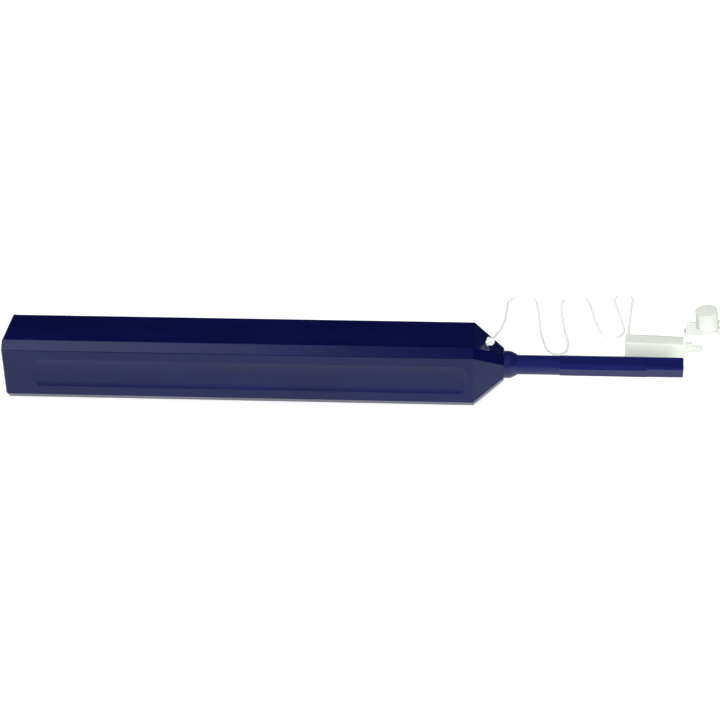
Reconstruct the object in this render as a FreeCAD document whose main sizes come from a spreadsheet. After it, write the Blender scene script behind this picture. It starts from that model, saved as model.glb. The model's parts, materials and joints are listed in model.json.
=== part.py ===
"""Push-type cleaning pen for fibre connectors, with its tethered guide cap.

Lengths are in millimetres.  Every piece is drawn about the pen's own axis: x runs from the rear
end to the tip, y across the pen and z upwards, and its Placement then sets the pen on its bottom
face with the origin under the middle.
"""
import FreeCAD, Part
import math
import os
import Sketcher

os.makedirs("parts", exist_ok=True)
doc = FreeCAD.newDocument("CleaningPen")
Vector = FreeCAD.Vector
Rotation = FreeCAD.Rotation

DRIVING_SIZES = {
    # housing
    "section": 18.0, "corner_chamfer": 2.2, "wall": 1.8, "edge_round": 0.35, "seam_round": 0.12,
    "rear_band": 1.2, "rear_bevel": 0.35, "rear_spigot": 2.8, "spring_boss": 6.4,
    "spring_boss_length": 1.4,
    "body_length": 127.4, "taper_length": 8.1, "nose_width": 7.9, "nose_chamfer": 2.0,
    "front_wall": 3.4, "collar_length": 3.5, "collar_diameter": 7.4, "collar_dome": 1.7,
    "collar_round": 2.0, "nose_spigot": 6.6,
    "groove_width": 8.3, "groove_depth": 0.7, "groove_rear": 7.5, "groove_front": 1.2,
    "groove_end": 5.0,
    # fits
    "running_gap": 0.05, "slide_gap": 0.15, "seat_gap": 0.02, "end_gap": 0.1,
    # retracting tip
    "tube_diameter": 5.27, "tube_showing": 11.45, "tube_bore": 3.4, "tube_spigot": 4.0,
    "spigot_length": 7.0, "flange_diameter": 11.0, "flange_thickness": 2.0, "tube_tail": 6.4,
    "middle_length": 23.15, "middle_width": 4.8, "middle_chamfer": 1.0,
    "tip_length": 9.8, "tip_width": 4.25, "tip_chamfer": 0.5, "tip_round": 0.4, "tip_turn": 22.0,
    # carriage
    "stroke": 10.0, "carriage_wall": 2.0, "front_block": 4.0, "cam_bay": 36.0, "reel_bay": 48.0,
    "side_plate": 1.0, "carriage_height": 12.0, "axle_diameter": 2.0,
    # reels
    "supply_from_rear": 9.0, "takeup_from_supply": 18.5, "reel_diameter": 12.4,
    "reel_flange": 0.6, "reel_width": 7.8, "hub_diameter": 4.6, "supply_winding": 10.6,
    "used_winding": 6.4, "ratchet_diameter": 11.0, "ratchet_depth": 0.7, "ratchet_width": 0.6,
    "ratchet_teeth": 24, "leaf_thickness": 0.3, "leaf_foot": 2.4, "leaf_overhang": 1.0,
    "brake_width": 2.0,
    # rack and pinion
    "gear_module": 0.5, "pinion_teeth": 16, "gear_width": 3.0, "pressure_angle": 20.0,
    "backlash": 0.08, "rack_overrun": 3.5,
    # cam
    "barrel_diameter": 7.0, "barrel_length": 22.0, "barrel_from_bay": 6.0, "cam_lead": 20.0,
    "cam_depth": 1.0, "cam_lead_in": 20.0, "pin_diameter": 1.4, "pin_from_barrel": 5.0,
    "journal_diameter": 4.6, "thrust_collar": 6.0, "pin_boss": 4.0,
    "boss_clearance": 1.0,
    # drive shaft and nozzle
    "shaft_socket": 18.0, "shaft_spigot": 1.4, "nozzle_spring_room": 9.0, "spigot_reach": 8.0,
    "recoil": 1.0, "nozzle_wall": 0.9, "nozzle_diameter": 1.2, "nozzle_inset": 1.0,
    "channel_width": 0.7, "channel_height": 1.4, "channel_overcut": 1.0,
    # thread
    "thread_diameter": 0.35, "thread_aside": 0.6, "thread_dip": 8.0, "thread_rise": 6.0,
    "thread_bend": 6.0, "tip_thread_height": 0.8, "tip_thread_start": 0.5,
    "tip_thread_end": 2.0, "tip_thread_bend": 4.0, "tip_thread_gap": 0.07,
    # springs
    "return_wire": 0.8, "return_coil": 9.0, "return_turns": 8.0,
    "nozzle_wire": 0.25, "nozzle_coil": 2.2, "nozzle_turns": 7.0,
    # guide cap
    "cap_from_rear": 168.63, "cap_aside": 22.1, "cap_yaw": 3.5, "cap_width": 5.1,
    "cap_length": 16.6, "cap_edge": 0.3, "socket_width": 4.35, "socket_depth": 12.6,
    "ferrule_bore": 1.27, "cap_nose_diameter": 4.0, "cap_nose_length": 1.8,
    "cap_nozzle_diameter": 2.2, "cap_nozzle_length": 2.9,
    "strap_width": 2.6, "strap_thickness": 0.7, "strap_height": 3.3,
    "lid_angle": 7.0, "lid_plate": 0.7, "lid_reach": 10.0, "lid_width": 6.6,
    "cup_diameter": 6.2, "cup_wall": 0.45, "cup_depth": 5.4, "hinge_gap": 0.1,
    # tether
    "cord_diameter": 0.8, "knot_diameter": 2.6, "knot_aside": -1.25, "knot_along_taper": 3.65,
    "anchor_bore": 1.2, "anchor_depth": 2.0, "tail_gap": 0.2, "cord_inset": 0.9,
    "cord_height": 4.335,
}
SAME = 1e-6          # coordinates closer than this are one
ARC_SHARE = 0.45     # how much of the shorter run a cord's arc takes
DEDENDUM = 1.25      # depth of a gear's tooth space below its pitch line, in modules
FLANK_STEPS = 3      # straight pieces in one flank of a gear tooth

sheet = doc.addObject("Spreadsheet::Sheet", "Sizes")
for row, (alias, number) in enumerate(DRIVING_SIZES.items(), start=1):
    sheet.set(f"A{row}", alias)
    sheet.set(f"B{row}", str(number))
    sheet.setAlias(f"B{row}", alias)
doc.recompute()

# Stations along the pen, as expressions on the sheet.
rear_face = "Sizes.rear_band"
shoulder = "Sizes.body_length"
nose_end = f"({shoulder} + Sizes.taper_length)"
collar_end = f"({nose_end} + Sizes.collar_length)"
tube_end = f"({collar_end} + Sizes.tube_showing)"
middle_end = f"({tube_end} + Sizes.middle_length)"
pen_end = f"({middle_end} + Sizes.tip_length)"
cavity_end = f"({shoulder} - Sizes.front_wall)"
block_front = f"({cavity_end} - Sizes.flange_thickness)"
block_rear = f"({block_front} - Sizes.front_block)"
bay_wall_front = f"({block_rear} - Sizes.cam_bay)"
bay_wall_rear = f"({bay_wall_front} - Sizes.carriage_wall)"
reel_bay_rear = f"({bay_wall_rear} - Sizes.reel_bay)"
carriage_rear = f"({reel_bay_rear} - Sizes.carriage_wall)"
spring_seat = f"({rear_face} + Sizes.rear_spigot)"
supply_axis = f"({reel_bay_rear} + Sizes.supply_from_rear)"
takeup_axis = f"({supply_axis} + Sizes.takeup_from_supply)"
barrel_rear = f"({bay_wall_front} + Sizes.barrel_from_bay)"
barrel_front = f"({barrel_rear} + Sizes.barrel_length)"
pin_axis = f"({barrel_rear} + Sizes.pin_from_barrel)"
shaft_rear = f"({block_rear} + Sizes.carriage_wall - Sizes.shaft_socket)"
spring_shoulder = f"({tube_end} + Sizes.spigot_length - Sizes.carriage_wall)"
nozzle_rear = f"({spring_shoulder} + Sizes.nozzle_spring_room)"
nozzle_seat = f"({nozzle_rear} + Sizes.spigot_reach + Sizes.recoil + Sizes.end_gap)"
nozzle_step = f"({nozzle_seat} + Sizes.nozzle_wall)"
nozzle_end = f"({pen_end} - Sizes.nozzle_inset)"

# Cross-section sizes, as expressions on the sheet.
half = "Sizes.section / 2"
seam = "(Sizes.section / 2 - Sizes.corner_chamfer)"
room = "(Sizes.section / 2 - Sizes.wall)"
room_chamfer = "(Sizes.corner_chamfer - Sizes.wall * (2 - sqrt(2)))"
room_corner = f"({room} - {room_chamfer})"
room_at_seam = f"({room} + {room_corner} - {seam})"
frame_half = f"({room} - Sizes.slide_gap)"
bay_half = f"({frame_half} - Sizes.side_plate)"
shaft_diameter = "(Sizes.tube_bore - 4 * Sizes.running_gap)"
pitch_radius = "(Sizes.gear_module * Sizes.pinion_teeth / 2)"
cam_floor = "(Sizes.barrel_diameter / 2 - Sizes.cam_depth)"
gear_near = f"({bay_half} - Sizes.end_gap - Sizes.gear_width)"
reel_near = f"(Sizes.end_gap - {bay_half})"
reel_far = f"({reel_near} + Sizes.reel_width)"
ratchet_far = f"({reel_far} + Sizes.ratchet_width)"
cap_axis = "Sizes.cap_width / 2"
hinge_height = "(Sizes.cap_width + Sizes.strap_height)"


def mm(expression):
    """The number that an expression on the sheet comes to."""
    return float(sheet.evalExpression(expression))


def place(piece, along="0", turn=0.0):
    """Sets a piece drawn about the pen's axis on the pen's resting frame."""
    piece.Placement = FreeCAD.Placement(Vector(), Rotation(Vector(1, 0, 0), turn))
    piece.setExpression("Placement.Base.x", f"{along} - {pen_end} / 2")
    piece.setExpression("Placement.Base.z", half)


def new_body(label, along="0", turn=0.0, placed=True):
    body = doc.addObject("PartDesign::Body", label)
    body.Label = label
    if placed:
        place(body, along, turn)
    return body


def new_sketch(body, label, plane, offset="0"):
    sketch = body.newObject("Sketcher::SketchObject", label)
    origin_plane = next(item for item in body.Origin.OriginFeatures if item.Role == plane)
    sketch.AttachmentSupport = (origin_plane, [""])
    sketch.MapMode = "FlatFace"
    sketch.setExpression("AttachmentOffset.Base.z", offset)
    return sketch


def bind_point(sketch, geometry, vertex, x, y):
    """Holds one vertex of a sketch at coordinates given as expressions."""
    for direction, expression in (("DistanceX", x), ("DistanceY", y)):
        held = Sketcher.Constraint(direction, geometry, vertex, mm(expression))
        index = sketch.addConstraint(held)
        sketch.setExpression(f"Constraints[{index}]", expression)


def add_outline(sketch, corners):
    """A closed outline of straight lines through corners given as pairs of expressions."""
    points = [Vector(mm(x), mm(y), 0) for x, y in corners]
    first = sketch.GeometryCount
    for start, end in zip(points, points[1:] + points[:1]):
        sketch.addGeometry(Part.LineSegment(start, end), False)
    for index in range(len(points)):
        following = first + (index + 1) % len(points)
        sketch.addConstraint(Sketcher.Constraint("Coincident", first + index, 2, following, 1))
    for index, (x, y) in enumerate(corners):
        bind_point(sketch, first + index, 1, x, y)


def add_circle(sketch, x, y, diameter):
    centre = Vector(mm(x), mm(y), 0)
    circle = sketch.addGeometry(Part.Circle(centre, Vector(0, 0, 1), mm(diameter) / 2), False)
    bind_point(sketch, circle, 3, x, y)
    index = sketch.addConstraint(Sketcher.Constraint("Diameter", circle, mm(diameter)))
    sketch.setExpression(f"Constraints[{index}]", diameter)


def outline(body, label, plane, corners, offset="0"):
    sketch = new_sketch(body, label, plane, offset)
    add_outline(sketch, corners)
    return sketch


def circle(body, label, plane, x, y, diameter, offset="0"):
    sketch = new_sketch(body, label, plane, offset)
    add_circle(sketch, x, y, diameter)
    return sketch


def rectangle(x_low, x_high, y_low, y_high):
    return [(x_low, y_low), (x_high, y_low), (x_high, y_high), (x_low, y_high)]


def chamfered_square(width, chamfer):
    """Corners of a square section with cut corners, centred on the axis."""
    flat = f"({width}) / 2"
    corner = f"(({width}) / 2 - {chamfer})"
    return [
        (flat, corner), (corner, flat), (f"-{corner}", flat), (f"-{flat}", corner),
        (f"-{flat}", f"-{corner}"), (f"-{corner}", f"-{flat}"),
        (corner, f"-{flat}"), (flat, f"-{corner}"),
    ]


def extrude(body, sketch, length):
    """Adds material along the sketch plane's normal."""
    feature = body.newObject("PartDesign::Pad", f"{sketch.Name}_pad")
    feature.Profile = sketch
    feature.setExpression("Length", length)
    return feature


def cut(body, sketch, length):
    """Removes material against the sketch plane's normal."""
    feature = body.newObject("PartDesign::Pocket", f"{sketch.Name}_pocket")
    feature.Profile = sketch
    feature.setExpression("Length", length)
    return feature


def turned(label, corners, along="0", plane="XZ_Plane", axis="H_Axis", turn=0.0, placed=True):
    """A turned piece: corners are (along the axis, radius), or swapped for the V axis."""
    body = new_body(label, along, turn, placed)
    profile = outline(body, f"{label}_profile", plane, corners)
    turning = body.newObject("PartDesign::Revolution", f"{label}_turning")
    turning.Profile = profile
    turning.ReferenceAxis = (profile, [axis])
    turning.Angle = 360
    return body


def round_edges(body, feature, chosen, radius):
    """Rounds the edges of a feature that the chosen test accepts."""
    doc.recompute()
    names = [f"Edge{number}" for number, edge in enumerate(feature.Shape.Edges, start=1)
             if chosen(edge)]
    fillet = body.newObject("PartDesign::Fillet", f"{feature.Name}_round")
    fillet.Base = (feature, names)
    fillet.setExpression("Radius", radius)
    return fillet


def is_across(edge):
    """True for an edge that lies in one plane square to the pen."""
    return edge.BoundBox.XLength < SAME


def runs_along(edge, shortest):
    """True for a straight edge parallel to the pen that is longer than shortest."""
    box = edge.BoundBox
    return box.XLength > shortest and box.YLength < SAME and box.ZLength < SAME


def boolean(kind, label, base, tool):
    """A Part boolean of two drawn pieces: kind is Cut, Fuse or Common."""
    result = doc.addObject(f"Part::{kind}", label)
    result.Label = label
    result.Base = base
    result.Tool = tool
    return result


def finished(label, shape, along="0"):
    """A piece whose shape is worked out here, set on the pen's resting frame."""
    piece = doc.addObject("Part::Feature", label)
    piece.Label = label
    piece.Shape = shape
    place(piece, along)
    return piece


# ---------------------------------------------------------------- housing


def grip_groove_cutter(label, side):
    """Roller with rounded ends that sinks a dished grip groove into one flank."""
    radius = "((Sizes.groove_width ^ 2 / 4 + Sizes.groove_depth ^ 2) / (2 * Sizes.groove_depth))"
    run_out = ("(Sizes.groove_end - sqrt(Sizes.groove_end ^ 2"
               " - (Sizes.groove_end - Sizes.groove_depth) ^ 2))")
    body = new_body(label, placed=False)
    rear = f"(Sizes.groove_rear - {run_out})"
    front = f"({shoulder} - Sizes.groove_front + {run_out})"
    roller = circle(body, f"{label}_roller", "YZ_Plane",
                    f"{side} * ({half} + {radius} - Sizes.groove_depth)", "0", f"2 * {radius}",
                    front)
    extrude(body, roller, f"{rear} - {front}")
    round_edges(body, body.Tip, is_across, "Sizes.groove_end")
    return body


def make_main_shell():
    """Channel, front wall and tapering nose in one moulding, open along its top."""
    body = new_body("shell_moulding", placed=False)
    channel = outline(body, "channel", "YZ_Plane", [
        (half, seam), (half, f"-{seam}"), (seam, f"-{half}"), (f"-{seam}", f"-{half}"),
        (f"-{half}", f"-{seam}"), (f"-{half}", seam), (f"-{room_at_seam}", seam),
        (f"-{room}", room_corner), (f"-{room}", f"-{room_corner}"),
        (f"-{room_corner}", f"-{room}"), (room_corner, f"-{room}"),
        (room, f"-{room_corner}"), (room, room_corner), (room_at_seam, seam),
    ], rear_face)
    extrude(body, channel, f"{shoulder} - {rear_face}")
    front_wall = outline(body, "front_wall", "YZ_Plane", [
        (half, seam), (half, f"-{seam}"), (seam, f"-{half}"), (f"-{seam}", f"-{half}"),
        (f"-{half}", f"-{seam}"), (f"-{half}", seam),
    ], cavity_end)
    extrude(body, front_wall, "Sizes.front_wall")
    taper = body.newObject("PartDesign::AdditiveLoft", "taper")
    taper.Profile = outline(body, "taper_root", "YZ_Plane",
                            chamfered_square("Sizes.section", "Sizes.corner_chamfer"), shoulder)
    taper.Sections = [outline(body, "taper_tip", "YZ_Plane",
                              chamfered_square("Sizes.nose_width", "Sizes.nose_chamfer"), nose_end)]
    taper.Ruled = True
    bore = circle(body, "nose_bore", "YZ_Plane", "0", "0",
                  "Sizes.nose_spigot + 2 * Sizes.seat_gap", nose_end)
    bored = cut(body, bore, f"{nose_end} - {cavity_end}")
    rounded = round_edges(body, bored, on_outer_skin, "Sizes.edge_round")
    level = mm(seam)
    round_edges(body, rounded, lambda edge: runs_along(edge, mm(shoulder) / 2)
                and abs(edge.BoundBox.ZMax - level) < SAME
                and abs(abs(edge.BoundBox.YMax) - mm(half)) < SAME, "Sizes.seam_round")
    return body


def on_outer_skin(edge):
    """True for the long, taper and shoulder edges of the shell below its seam."""
    ends = [vertex.Point for vertex in edge.Vertexes]
    wide, narrow = mm(half), mm("Sizes.nose_width / 2")
    for point in ends:
        reach = narrow if point.x > mm(shoulder) + SAME else wide
        if abs(max(abs(point.y), abs(point.z)) - reach) > SAME:
            return False
    above = all(point.z > mm(seam) - SAME for point in ends)
    runs_forward = abs(ends[0].x - ends[-1].x) > SAME
    reaches_nose = max(point.x for point in ends) > mm(shoulder) + SAME
    return reaches_nose or (not above and (runs_forward or ends[0].x > mm(shoulder) - SAME))


def cord_anchor_cutter():
    """Hole in the top of the taper that the knot's tail goes through."""
    hole = doc.addObject("Part::Cylinder", "anchor_hole")
    hole.setExpression("Radius", "Sizes.anchor_bore / 2")
    hole.setExpression("Height", "2 * Sizes.anchor_depth")
    hole.Placement = FreeCAD.Placement(
        taper_point(-mm("Sizes.anchor_depth")), Rotation(Vector(0, 0, 1), taper_normal()))
    return hole


def taper_normal():
    """Outward direction of the taper's top face."""
    rise = mm("(Sizes.section - Sizes.nose_width) / 2")
    return Vector(rise, 0, mm("Sizes.taper_length")).normalize()


def taper_point(height):
    """A point above the anchor on the taper's top face, measured square to the face."""
    along = mm("Sizes.knot_along_taper")
    drop = mm("(Sizes.section - Sizes.nose_width) / 2 / Sizes.taper_length") * along
    foot = Vector(mm(shoulder) + along, mm("Sizes.knot_aside"), mm(half) - drop)
    return foot + taper_normal() * height


def make_shell_with_cuts():
    moulding = make_main_shell()
    near = boolean("Cut", "shell_near_groove", moulding, grip_groove_cutter("near_groove", -1))
    far = boolean("Cut", "shell_far_groove", near, grip_groove_cutter("far_groove", 1))
    shell = boolean("Cut", "main_shell", far, cord_anchor_cutter())
    place(shell)
    return shell


def make_top_cover():
    """Lid of the channel, with the boss that holds the cam pin."""
    body = new_body("top_cover")
    section = outline(body, "cover_section", "YZ_Plane", [
        (half, seam), (seam, half), (f"-{seam}", half), (f"-{half}", seam),
        (f"-{room_at_seam}", seam), (f"-{room_corner}", room),
        (room_corner, room), (room_at_seam, seam),
    ], rear_face)
    extrude(body, section, f"{shoulder} - {rear_face}")
    boss_foot = "(Sizes.barrel_diameter / 2 + Sizes.boss_clearance)"
    boss = circle(body, "cam_pin_boss", "XY_Plane", pin_axis, "0", "Sizes.pin_boss", boss_foot)
    extrude(body, boss, f"{room} - {boss_foot} + Sizes.seat_gap")
    hole = circle(body, "cam_pin_hole", "XY_Plane", pin_axis, "0",
                  "Sizes.pin_diameter + 2 * Sizes.seat_gap", f"{half} - Sizes.wall / 2")
    bored = cut(body, hole, half)
    outer, shortest = mm(half), mm(shoulder) / 2
    rounded = round_edges(body, bored, lambda edge: runs_along(edge, shortest)
                          and edge.BoundBox.ZMax > outer - SAME, "Sizes.edge_round")
    round_edges(body, rounded, lambda edge: runs_along(edge, shortest)
                and abs(edge.BoundBox.YMax) > outer - SAME, "Sizes.seam_round / 2")
    return body


def make_rear_cap():
    """Bevelled end plate with a spigot in the channel and a boss for the spring."""
    body = new_body("rear_cap")
    rim = outline(body, "rear_plate", "YZ_Plane",
                  chamfered_square("Sizes.section", "Sizes.corner_chamfer"), "Sizes.rear_bevel")
    extrude(body, rim, "Sizes.rear_band - Sizes.rear_bevel")
    bevel = body.newObject("PartDesign::AdditiveLoft", "rear_bevel")
    bevel.Profile = outline(body, "bevel_root", "YZ_Plane",
                            chamfered_square("Sizes.section", "Sizes.corner_chamfer"),
                            "Sizes.rear_bevel")
    bevel.Sections = [outline(
        body, "bevel_face", "YZ_Plane",
        chamfered_square("(Sizes.section - 2 * Sizes.rear_bevel)",
                         "(Sizes.corner_chamfer - Sizes.rear_bevel * (2 - sqrt(2)))"), "0")]
    bevel.Ruled = True
    fitted = f"(2 * ({room} - Sizes.seat_gap))"
    spigot = outline(body, "rear_spigot", "YZ_Plane",
                     chamfered_square(fitted, room_chamfer), rear_face)
    extrude(body, spigot, "Sizes.rear_spigot")
    boss = circle(body, "rear_spring_boss", "YZ_Plane", "0", "0", "Sizes.spring_boss", spring_seat)
    extrude(body, boss, "Sizes.spring_boss_length")
    return body


def make_nose_bush():
    """Turned collar with a domed front that guides the sliding tube."""
    bore = "(Sizes.tube_diameter / 2 + Sizes.running_gap)"
    seat, dome = f"({cavity_end} + Sizes.front_wall / 2)", f"({collar_end} - Sizes.collar_dome)"
    body = turned("nose_bush", [
        (seat, bore), (collar_end, bore), (collar_end, f"{bore} + Sizes.slide_gap"),
        (dome, "Sizes.collar_diameter / 2"), (nose_end, "Sizes.collar_diameter / 2"),
        (nose_end, "Sizes.nose_spigot / 2"), (seat, "Sizes.nose_spigot / 2"),
    ])
    corner = mm(dome)
    round_edges(body, body.Tip, lambda edge: is_across(edge)
                and abs(edge.BoundBox.XMin - corner) < SAME, "Sizes.collar_round")
    return body


def make_cam_pin():
    pin = doc.addObject("Part::Cylinder", "cam_pin")
    pin.Label = "cam_pin"
    foot = f"({cam_floor} + Sizes.running_gap * 4)"
    pin.setExpression("Radius", "Sizes.pin_diameter / 2")
    pin.setExpression("Height", f"{half} - Sizes.wall / 2 - {foot}")
    pin.setExpression("Placement.Base.x", f"{pin_axis} - {pen_end} / 2")
    pin.setExpression("Placement.Base.z", f"{half} + {foot}")
    return pin


def involute(angle):
    return math.tan(angle) - angle


def make_drive_rack():
    """Straight rack on the floor of the channel, with a tooth under the pinion's axis."""
    module = mm("Sizes.gear_module")
    slope = math.tan(math.radians(mm("Sizes.pressure_angle")))
    pitch = math.pi * module
    pitch_line = -mm(pitch_radius)
    root, crest = pitch_line - DEDENDUM * module, pitch_line + module
    half_tooth = (pitch / 2 - mm("Sizes.backlash")) / 2
    rear = -mm("Sizes.stroke") - mm("Sizes.rack_overrun")
    front = mm("Sizes.rack_overrun")
    corners = [(rear, -mm(room)), (rear, root)]
    for count in range(math.ceil(rear / pitch + 0.5), math.floor(front / pitch - 0.5) + 1):
        centre = count * pitch
        corners += [
            (centre - half_tooth - (pitch_line - root) * slope, root),
            (centre - half_tooth + (crest - pitch_line) * slope, crest),
            (centre + half_tooth - (crest - pitch_line) * slope, crest),
            (centre + half_tooth + (pitch_line - root) * slope, root),
        ]
    corners += [(front, root), (front, -mm(room))]
    near = mm(gear_near)
    wire = Part.makePolygon([Vector(x, near, z) for x, z in corners + corners[:1]])
    rack = Part.Face(wire).extrude(Vector(0, mm("Sizes.gear_width"), 0))
    return finished("drive_rack", rack, takeup_axis)


def coil_spring(label, wire, coil, turns, start, length):
    """Open coil spring along the pen: half-round bends, each tilted to meet the next."""
    thick, bends = mm(wire), round(2 * mm(turns))
    radius, step = (mm(coil) - thick) / 2, (mm(length) - thick) / bends
    arcs, side = [], 1
    begin = Vector(mm(start) + thick / 2, radius, 0)
    for _ in range(bends):
        end = Vector(begin.x + step, -side * radius, 0)
        top = (begin + end) / 2 + Vector(0, 0, side * (end - begin).Length / 2)
        arcs.append(Part.Arc(begin, top, end).toShape())
        begin, side = end, -side
    section = Part.makeCircle(thick / 2, arcs[0].Vertexes[0].Point, Vector(0, 0, 1))
    return finished(label, Part.Wire(arcs).makePipe(Part.Face(Part.Wire(section))))


# ---------------------------------------------------------------- carriage


def make_carriage_frame():
    """Frame with two side plates, a reel bay and a cam bay, sliding in the channel."""
    body = new_body("carriage_frame")
    top = "Sizes.carriage_height / 2"
    block = outline(body, "frame_block", "XY_Plane",
                    rectangle(carriage_rear, block_front, f"-{frame_half}", frame_half), f"-{top}")
    extrude(body, block, "Sizes.carriage_height")
    reels = outline(body, "reel_window", "XY_Plane",
                    rectangle(reel_bay_rear, bay_wall_rear, f"-{bay_half}", bay_half), top)
    cut(body, reels, "Sizes.carriage_height")
    cam = outline(body, "cam_window", "XY_Plane",
                  rectangle(bay_wall_front, block_rear, f"-{bay_half}", bay_half), top)
    cut(body, cam, "Sizes.carriage_height")
    journals = circle(body, "journal_bores", "YZ_Plane", "0", "0",
                      "Sizes.journal_diameter + 2 * Sizes.running_gap", block_front)
    cut(body, journals, f"{block_front} - {bay_wall_rear} + Sizes.end_gap")
    socket = circle(body, "tube_socket", "YZ_Plane", "0", "0",
                    "Sizes.tube_tail + 2 * Sizes.seat_gap", block_front)
    cut(body, socket, "Sizes.carriage_wall")
    holes = new_sketch(body, "axle_holes", "XZ_Plane", room)
    add_circle(holes, supply_axis, "0", "Sizes.axle_diameter + 2 * Sizes.seat_gap")
    add_circle(holes, takeup_axis, "0", "Sizes.axle_diameter + 2 * Sizes.seat_gap")
    cut(body, holes, f"2 * {room}")
    boss = circle(body, "front_spring_boss", "YZ_Plane", "0", "0", "Sizes.spring_boss",
                  f"{carriage_rear} - Sizes.carriage_wall")
    extrude(body, boss, "Sizes.carriage_wall")
    return body


def make_guide_tube():
    """Sliding tube, flanged where it seats on the carriage."""
    bore = "Sizes.tube_bore / 2"
    outer = "Sizes.tube_diameter / 2"
    return turned("guide_tube", [
        (f"{block_front} - Sizes.carriage_wall", bore),
        (f"{tube_end} + Sizes.spigot_length", bore),
        (f"{tube_end} + Sizes.spigot_length", "Sizes.tube_spigot / 2"),
        (tube_end, "Sizes.tube_spigot / 2"), (tube_end, outer),
        (f"{cavity_end} - Sizes.seat_gap", outer),
        (f"{cavity_end} - Sizes.seat_gap", "Sizes.flange_diameter / 2"),
        (block_front, "Sizes.flange_diameter / 2"), (block_front, "Sizes.tube_tail / 2"),
        (f"{block_front} - Sizes.carriage_wall", "Sizes.tube_tail / 2"),
    ])


def make_tip_guide():
    """Square sleeve in two steps that enters the adapter."""
    body = new_body("tip_guide", turn=mm("Sizes.tip_turn"))
    middle = outline(body, "tip_middle", "YZ_Plane",
                     chamfered_square("Sizes.middle_width", "Sizes.middle_chamfer"), tube_end)
    extrude(body, middle, "Sizes.middle_length")
    tip = outline(body, "tip_front", "YZ_Plane",
                  chamfered_square("Sizes.tip_width", "Sizes.tip_chamfer"), middle_end)
    extrude(body, tip, "Sizes.tip_length")
    bore = circle(body, "tip_bore", "YZ_Plane", "0", "0", "Sizes.tube_bore", pen_end)
    cut(body, bore, f"{pen_end} - {tube_end}")
    seat = circle(body, "tip_seat", "YZ_Plane", "0", "0",
                  "Sizes.tube_spigot + 2 * Sizes.seat_gap",
                  f"{tube_end} + Sizes.spigot_length + Sizes.end_gap")
    cut(body, seat, "Sizes.spigot_length + Sizes.end_gap")
    front = mm(pen_end)
    round_edges(body, body.Tip, lambda edge: edge.BoundBox.XMin > front - SAME
                and len(edge.Vertexes) == 2, "Sizes.tip_round")
    return body


def make_axle(label, station):
    axle = doc.addObject("Part::Cylinder", label)
    axle.Label = label
    axle.setExpression("Radius", "Sizes.axle_diameter / 2")
    axle.setExpression("Height", f"2 * {frame_half}")
    axle.Placement.Rotation = Rotation(Vector(1, 0, 0), -90)
    axle.setExpression("Placement.Base.x", f"{station} - {pen_end} / 2")
    axle.setExpression("Placement.Base.y", f"-{frame_half}")
    axle.setExpression("Placement.Base.z", half)
    return axle


def make_leaf(label, foot, onward, axis, arm_low, tip_drop, near, width):
    """Leaf spring bent from strip: a foot on a cross wall and an arm just past a reel's axis.
    Onward is the sign of the arm's direction along the pen."""
    body = new_body(label)
    thick = "Sizes.leaf_thickness"
    arm_end = f"({axis} {onward} Sizes.leaf_overhang)"
    back = f"({foot} {onward} {thick})"
    tip_back = f"({arm_end} - ({onward} {thick}))"
    foot_end = f"{arm_low} - Sizes.leaf_foot"
    strip = outline(body, f"{label}_strip", "XZ_Plane", [
        (foot, foot_end), (foot, f"{arm_low} + {thick}"),
        (arm_end, f"{arm_low} + {thick}"), (arm_end, f"{arm_low} - {tip_drop}"),
        (tip_back, f"{arm_low} - {tip_drop}"), (tip_back, arm_low),
        (back, arm_low), (back, foot_end),
    ], f"-({near}) - {width}")
    extrude(body, strip, width)
    return body


# ---------------------------------------------------------------- reels, rack and pinion


def make_reel(label, station, far_end, placed=True):
    """Spool: two flanges on a hub, bored for its axle; far_end is where the hub stops."""
    bore = "(Sizes.axle_diameter / 2 + Sizes.running_gap)"
    hub = "Sizes.hub_diameter / 2"
    rim = "Sizes.reel_diameter / 2"
    return turned(label, [
        (bore, reel_near), (rim, reel_near), (rim, f"{reel_near} + Sizes.reel_flange"),
        (hub, f"{reel_near} + Sizes.reel_flange"), (hub, f"{reel_far} - Sizes.reel_flange"),
        (rim, f"{reel_far} - Sizes.reel_flange"), (rim, reel_far), (hub, reel_far),
        (hub, far_end), (bore, far_end),
    ], station, "XY_Plane", "V_Axis", placed=placed)


def make_take_up_reel():
    """Spool with a saw-toothed ring on the flange beside the pinion."""
    spool = make_reel("take_up_spool", takeup_axis, ratchet_far, placed=False)
    ring = doc.addObject("Part::Feature", "ratchet_ring")
    ring.Shape = ratchet_ring_shape()
    reel = boolean("Fuse", "take_up_reel", spool, ring)
    place(reel, takeup_axis)
    return reel


def ratchet_ring_shape():
    """Saw teeth round the take-up reel's axis."""
    count = int(mm("Sizes.ratchet_teeth"))
    outer = mm("Sizes.ratchet_diameter / 2")
    inner = outer - mm("Sizes.ratchet_depth")
    bore = mm("Sizes.hub_diameter / 2") - mm("Sizes.seat_gap")
    step = 2 * math.pi / count
    low = mm(reel_far)
    points = []
    for tooth in range(count):
        for radius in (outer, inner):
            points.append(Vector(radius * math.sin(tooth * step), low,
                                 radius * math.cos(tooth * step)))
    teeth = Part.Face(Part.makePolygon(points + points[:1]))
    hole = Part.Face(Part.Wire(Part.makeCircle(bore, Vector(0, low, 0), Vector(0, 1, 0))))
    return teeth.cut(hole).extrude(Vector(0, mm("Sizes.ratchet_width"), 0))


def make_winding(label, station, diameter):
    """Thread wound on a hub, as one ring."""
    hub = "(Sizes.hub_diameter / 2 + Sizes.seat_gap)"
    low = f"({reel_near} + Sizes.reel_flange + Sizes.seat_gap)"
    high = f"({reel_far} - Sizes.reel_flange - Sizes.seat_gap)"
    return turned(label, [(hub, low), (f"{diameter} / 2", low), (f"{diameter} / 2", high),
                          (hub, high)], station, "XY_Plane", "V_Axis")


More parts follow.
